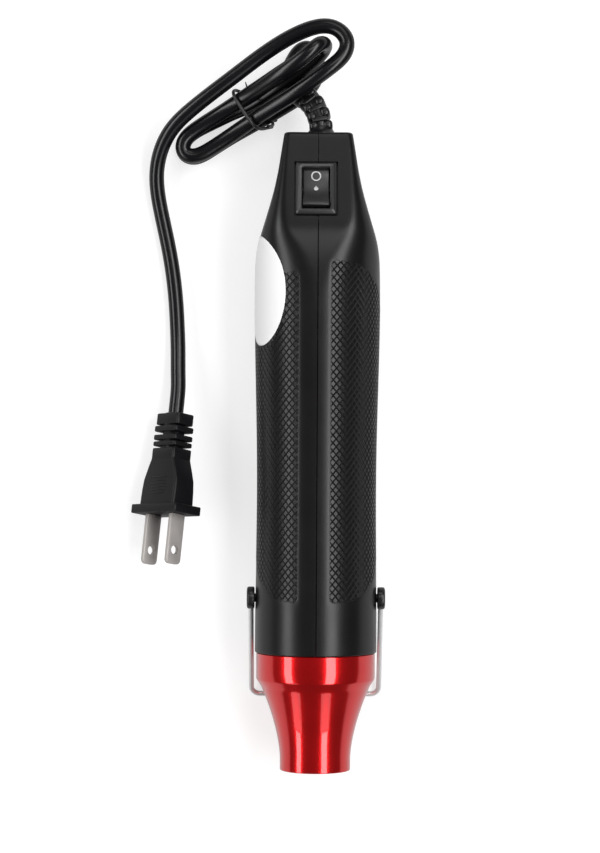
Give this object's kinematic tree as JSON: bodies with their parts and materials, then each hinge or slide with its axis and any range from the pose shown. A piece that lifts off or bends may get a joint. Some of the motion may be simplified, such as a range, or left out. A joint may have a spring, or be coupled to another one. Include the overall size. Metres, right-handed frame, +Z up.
{
  "type": "embossing heat tool",
  "caption": "Slim embossing heat tool: round black housing, red metal nozzle, folding wire stand, rear rocker switch, strain relief and tied mains cord with a plug.",
  "frame": {"origin": "middle of the foot of the tool's own box, cord and plug left out, on the table under the tool", "axes": "+Y along the tool towards the cord end, -Y towards the nozzle mouth, +Z up out of the switch side, +X to the side away from the sticker"},
  "size_m": [0.09, 0.2631, 0.0439],
  "materials": {
    "shell_black": "satin moulded plastic",
    "switch_black": "gloss",
    "nozzle_red": "gloss enamel",
    "stand_chrome": "bright",
    "knob_black": "satin",
    "screw_black": "satin black",
    "screw_steel": "zinc plated",
    "sticker_white": "satin paper",
    "relief_black": "satin",
    "cord_black": "gloss vinyl",
    "tie_black": "satin",
    "plug_black": "satin vinyl",
    "blade_steel": "nickel plated",
    "ceramic_cream": "matte",
    "mica_tan": "flaky, satin",
    "tube_steel": "drawn",
    "heating_wire": "oxidised",
    "cutoff_brass": "satin",
    "duct_black": "matte",
    "fan_white": "satin",
    "shaft_steel": "ground",
    "motor_steel": "zinc plated",
    "terminal_brass": "satin",
    "board_brown": "matte paper laminate",
    "parts_dark": "gloss",
    "wire_black": "satin",
    "wire_red": "satin",
    "wire_white": "satin"
  },
  "bodies": {
    "housing": {"housing_left": "shell_black", "housing_right": "shell_black", "housing_screws": "screw_steel", "label_sticker": "sticker_white", "nozzle": "nozzle_red", "insulating_ring": "ceramic_cream", "heat_shield": "tube_steel", "mica_sleeve": "mica_tan", "element_board_flat": "mica_tan", "element_board_upright": "mica_tan", "heating_coil": "heating_wire", "thermal_cutoff": "cutoff_brass", "element_carrier": "ceramic_cream", "fan_duct": "duct_black", "motor_can": "motor_steel", "motor_mount": "duct_black", "motor_terminals": "terminal_brass", "circuit_board": "board_brown", "board_parts": "parts_dark", "switch_body": "switch_black", "switch_terminals": "terminal_brass", "cord_clamp": "duct_black", "clamp_screws": "screw_steel", "wire_live": "wire_black", "wire_heater": "wire_red", "wire_neutral": "wire_white", "wire_motor": "wire_red", "pivot_screws": "screw_black", "strain_relief": "relief_black", "cord_inside": "cord_black", "cord_hank": "cord_black", "cord_lead": "cord_black", "cord_tie": "tie_black", "plug_body": "plug_black", "plug_blades": "blade_steel"},
    "rocker": {"rocker": "switch_black"},
    "rotor": {"fan_impeller": "fan_white", "motor_shaft": "shaft_steel"},
    "stand": {"bail_wire": "stand_chrome", "pivot_knob_left": "knob_black", "pivot_knob_right": "knob_black"}
  },
  "joints": [
    {"name": "rocker_press", "type": "hinge", "parent": "housing", "child": "rocker", "pos_m": [-0.0008, 0.09046, 0.03659], "axis": [1, 0, 0], "range_deg": [0, 20]},
    {"name": "fan_spin", "type": "hinge", "parent": "housing", "child": "rotor", "pos_m": [0, 0.002, 0.0219], "axis": [0, 1, 0], "continuous": true},
    {"name": "stand_swing", "type": "hinge", "parent": "housing", "child": "stand", "pos_m": [0, -0.05105, 0.0219], "axis": [1, 0, 0], "range_deg": [-3.5, 114]}
  ]
}
